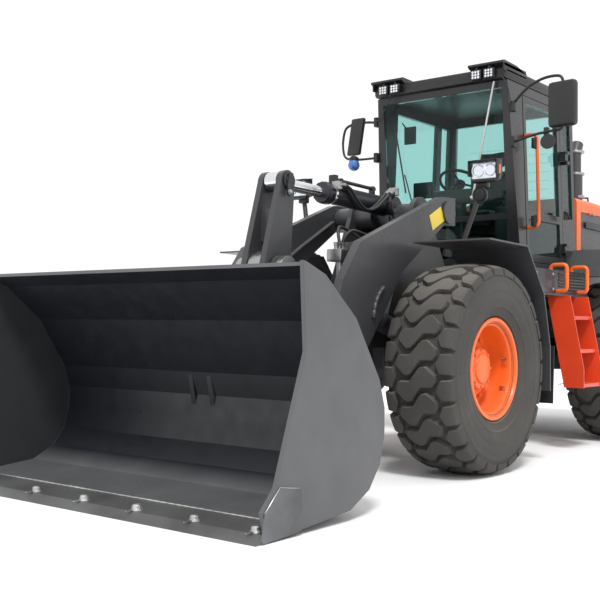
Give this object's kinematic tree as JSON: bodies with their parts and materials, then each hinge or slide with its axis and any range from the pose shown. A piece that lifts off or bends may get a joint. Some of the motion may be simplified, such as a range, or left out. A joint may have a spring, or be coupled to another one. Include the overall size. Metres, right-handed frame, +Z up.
{
  "type": "articulated wheel loader",
  "caption": "Articulated four-wheel loader with a lift boom, a bucket worked by a crank linkage and cylinders, and a glazed cab over a swinging rear axle.",
  "frame": {"origin": "on the ground, in the middle of the machine's length and width", "axes": "+X forward to the bucket, +Y to the machine's left, +Z up"},
  "size_m": [7.64, 2.74, 3.28],
  "materials": {
    "orange_paint": "satin orange paint",
    "step_paint": "satin red-orange paint",
    "grey_paint": "satin dark grey paint",
    "dark_paint": "satin near-black paint",
    "bucket_paint": "grey paint, near black inside",
    "cast_body": "painted castings",
    "bare_steel": "machined pins",
    "chromed_rod": "hard chrome",
    "tyre_rubber": "matte rubber",
    "cab_paint": "satin black",
    "tinted_glass": "green tint",
    "plastic": "moulded",
    "seat_fabric": "woven cover on foam",
    "lamp_plastic": "lamp housings"
  },
  "bodies": {
    "chassis": {"rear_frame": "dark_paint", "counterweight": "cast_body", "engine_block": "cast_body", "hood_shell": "orange_paint", "lower_housing": "grey_paint", "exhaust": "grey_paint", "cab_frame": "cab_paint", "cab_glass": "tinted_glass", "cab_floor": "cab_paint", "cab_roof": "cab_paint", "seat": "seat_fabric", "console": "plastic", "platforms": "dark_paint", "rear_fenders": "grey_paint", "steps": "step_paint", "grab_rails": "orange_paint", "mirrors": "plastic", "work_lights": "lamp_plastic"},
    "cab_door": {"cab_door": "cab_paint", "door_glass": "tinted_glass", "door_rail": "orange_paint"},
    "engine_door_left": {"engine_door_left": "grey_paint"},
    "engine_door_right": {"engine_door_right": "grey_paint"},
    "rear_grille": {"rear_grille": "dark_paint"},
    "front": {"front_frame": "grey_paint", "front_axle": "cast_body", "front_fenders": "grey_paint", "headlamps": "lamp_plastic"},
    "rear_axle": {"rear_axle": "cast_body"},
    "boom": {"boom": "grey_paint"},
    "bucket_pins": {"bucket_pins": "bare_steel"},
    "bucket": {"bucket_shell": "bucket_paint", "cutting_edge": "bare_steel"},
    "crank_pin": {"crank_pin": "bare_steel"},
    "bell_crank": {"bell_crank": "grey_paint"},
    "link_pin": {"link_pin": "bare_steel"},
    "tilt_link": {"tilt_link": "grey_paint"},
    "tilt_barrel": {"tilt_barrel": "dark_paint"},
    "tilt_piston": {"tilt_piston": "bare_steel"},
    "tilt_rod": {"tilt_rod": "chromed_rod"},
    "lift_barrel_left": {"lift_barrel_left": "dark_paint"},
    "lift_rod_left": {"lift_rod_left": "chromed_rod"},
    "steer_barrel_left": {"steer_barrel_left": "dark_paint"},
    "steer_rod_left": {"steer_rod_left": "chromed_rod"},
    "lift_barrel_right": {"lift_barrel_right": "dark_paint"},
    "lift_rod_right": {"lift_rod_right": "chromed_rod"},
    "steer_barrel_right": {"steer_barrel_right": "dark_paint"},
    "steer_rod_right": {"steer_rod_right": "chromed_rod"},
    "wheel_front_left": {"tyre_front_left": "tyre_rubber", "rim_front_left": "orange_paint"},
    "wheel_front_right": {"tyre_front_right": "tyre_rubber", "rim_front_right": "orange_paint"},
    "wheel_rear_left": {"tyre_rear_left": "tyre_rubber", "rim_rear_left": "orange_paint"},
    "wheel_rear_right": {"tyre_rear_right": "tyre_rubber", "rim_rear_right": "orange_paint"}
  },
  "joints": [
    {"name": "articulation", "type": "hinge", "parent": "chassis", "child": "front", "pos_m": [-0.51, 0, 0.87], "axis": [0, 0, 1], "range_deg": [-40, 40]},
    {"name": "axle_swing", "type": "hinge", "parent": "chassis", "child": "rear_axle", "pos_m": [-2.02, 0, 0.746], "axis": [1, 0, 0], "range_deg": [-12, 12]},
    {"name": "cab_door_swing", "type": "hinge", "parent": "chassis", "child": "cab_door", "pos_m": [-1.334, 0.72, 1.6], "axis": [0, 0, 1], "range_deg": [0, 90]},
    {"name": "left_cover_lift", "type": "hinge", "parent": "chassis", "child": "engine_door_left", "pos_m": [-2.7, 0.604, 2.167], "axis": [1, 0, 0], "range_deg": [0, 75]},
    {"name": "right_cover_lift", "type": "hinge", "parent": "chassis", "child": "engine_door_right", "pos_m": [-2.7, -0.604, 2.167], "axis": [1, 0, 0], "range_deg": [-75, 0]},
    {"name": "grille_swing", "type": "hinge", "parent": "chassis", "child": "rear_grille", "pos_m": [-3.694, -0.506, 1.7], "axis": [0, 0, 1], "range_deg": [0, 90]},
    {"name": "boom_lift", "type": "hinge", "parent": "front", "child": "boom", "pos_m": [0.55, 0, 1.93], "axis": [0, -1, 0], "range_deg": [0, 85]},
    {"name": "pin_level", "type": "hinge", "parent": "boom", "child": "bucket_pins", "pos_m": [2.555, 0, 0.33], "axis": [0, -1, 0], "range_deg": [-86.7, 1.7]},
    {"name": "bucket_tilt", "type": "hinge", "parent": "bucket_pins", "child": "bucket", "pos_m": [2.555, 0, 0.33], "axis": [0, -1, 0], "range_deg": [-45, 42]},
    {"name": "crank_level", "type": "hinge", "parent": "boom", "child": "crank_pin", "pos_m": [2.12, 0, 1.42], "axis": [0, -1, 0], "range_deg": [-0.47, 24.16]},
    {"name": "crank_swing", "type": "hinge", "parent": "crank_pin", "child": "bell_crank", "pos_m": [2.12, 0, 1.42], "axis": [0, -1, 0], "range_deg": [-10.66, 11.39]},
    {"name": "link_level", "type": "hinge", "parent": "bell_crank", "child": "link_pin", "pos_m": [2.01, 0, 0.56], "axis": [0, -1, 0], "range_deg": [-45.35, 0.89]},
    {"name": "link_swing", "type": "hinge", "parent": "link_pin", "child": "tilt_link", "pos_m": [2.01, 0, 0.56], "axis": [0, -1, 0], "range_deg": [-15.93, 14.91]},
    {"name": "tilt_barrel_swing", "type": "hinge", "parent": "front", "child": "tilt_barrel", "pos_m": [0.6, 0, 2.01], "axis": [0, -1, 0], "range_deg": [-1.75, 89.37]},
    {"name": "tilt_piston_slide", "type": "slide", "parent": "tilt_barrel", "child": "tilt_piston", "axis": [0.9997, 0, 0.0248], "range_m": [-0.28778, 0.00564]},
    {"name": "tilt_rod_slide", "type": "slide", "parent": "tilt_piston", "child": "tilt_rod", "axis": [0.9997, 0, 0.0248], "range_m": [-0.12251, 0.11465]},
    {"name": "lift_barrel_left_swing", "type": "hinge", "parent": "front", "child": "lift_barrel_left", "pos_m": [0.05, 0.395, 0.7], "axis": [0, -1, 0], "range_deg": [-0.78, 39.65]},
    {"name": "lift_rod_left_slide", "type": "slide", "parent": "lift_barrel_left", "child": "lift_rod_left", "axis": [0.9567, 0, 0.2912], "range_m": [-0.02038, 1.03957]},
    {"name": "steer_barrel_left_swing", "type": "hinge", "parent": "chassis", "child": "steer_barrel_left", "pos_m": [-1.13, 0.385, 0.85], "axis": [0, 0, 1], "range_deg": [-16.58, 16.58]},
    {"name": "steer_rod_left_slide", "type": "slide", "parent": "steer_barrel_left", "child": "steer_rod_left", "axis": [1, 0, 0], "range_m": [-0.27325, 0.27325]},
    {"name": "lift_barrel_right_swing", "type": "hinge", "parent": "front", "child": "lift_barrel_right", "pos_m": [0.05, -0.395, 0.7], "axis": [0, -1, 0], "range_deg": [-0.78, 39.65]},
    {"name": "lift_rod_right_slide", "type": "slide", "parent": "lift_barrel_right", "child": "lift_rod_right", "axis": [0.9567, 0, 0.2912], "range_m": [-0.02038, 1.03957]},
    {"name": "steer_barrel_right_swing", "type": "hinge", "parent": "chassis", "child": "steer_barrel_right", "pos_m": [-1.13, -0.385, 0.85], "axis": [0, 0, 1], "range_deg": [-16.58, 16.58]},
    {"name": "steer_rod_right_slide", "type": "slide", "parent": "steer_barrel_right", "child": "steer_rod_right", "axis": [1, 0, 0], "range_m": [-0.27325, 0.27325]},
    {"name": "front_left_wheel_roll", "type": "hinge", "parent": "front", "child": "wheel_front_left", "pos_m": [1, 0.965, 0.746], "axis": [0, 1, 0], "continuous": true},
    {"name": "front_right_wheel_roll", "type": "hinge", "parent": "front", "child": "wheel_front_right", "pos_m": [1, -0.965, 0.746], "axis": [0, 1, 0], "continuous": true},
    {"name": "rear_left_wheel_roll", "type": "hinge", "parent": "rear_axle", "child": "wheel_rear_left", "pos_m": [-2.02, 0.965, 0.746], "axis": [0, 1, 0], "continuous": true},
    {"name": "rear_right_wheel_roll", "type": "hinge", "parent": "rear_axle", "child": "wheel_rear_right", "pos_m": [-2.02, -0.965, 0.746], "axis": [0, 1, 0], "continuous": true}
  ],
  "couplings": [
    {"joint": "pin_level", "follows": "boom_lift", "ratio": -1},
    {"joint": "crank_level", "follows": "boom_lift", "ratio": 0.27865},
    {"joint": "crank_swing", "follows": "bucket_tilt", "ratio": -0.24371},
    {"joint": "link_level", "follows": "boom_lift", "ratio": -0.5231},
    {"joint": "link_swing", "follows": "bucket_tilt", "ratio": 0.34081},
    {"joint": "tilt_barrel_swing", "follows": "boom_lift", "ratio": 1.0308},
    {"joint": "tilt_piston_slide", "follows": "boom_lift", "m_per_rad": -0.19018},
    {"joint": "tilt_rod_slide", "follows": "bucket_tilt", "m_per_rad": 0.15018},
    {"joint": "lift_barrel_left_swing", "follows": "boom_lift", "ratio": 0.45734},
    {"joint": "lift_rod_left_slide", "follows": "boom_lift", "m_per_rad": 0.687},
    {"joint": "steer_barrel_left_swing", "follows": "articulation", "ratio": 0.39863},
    {"joint": "steer_rod_left_slide", "follows": "articulation", "m_per_rad": -0.37635},
    {"joint": "lift_barrel_right_swing", "follows": "boom_lift", "ratio": 0.45734},
    {"joint": "lift_rod_right_slide", "follows": "boom_lift", "m_per_rad": 0.687},
    {"joint": "steer_barrel_right_swing", "follows": "articulation", "ratio": 0.39863},
    {"joint": "steer_rod_right_slide", "follows": "articulation", "m_per_rad": 0.37635}
  ]
}
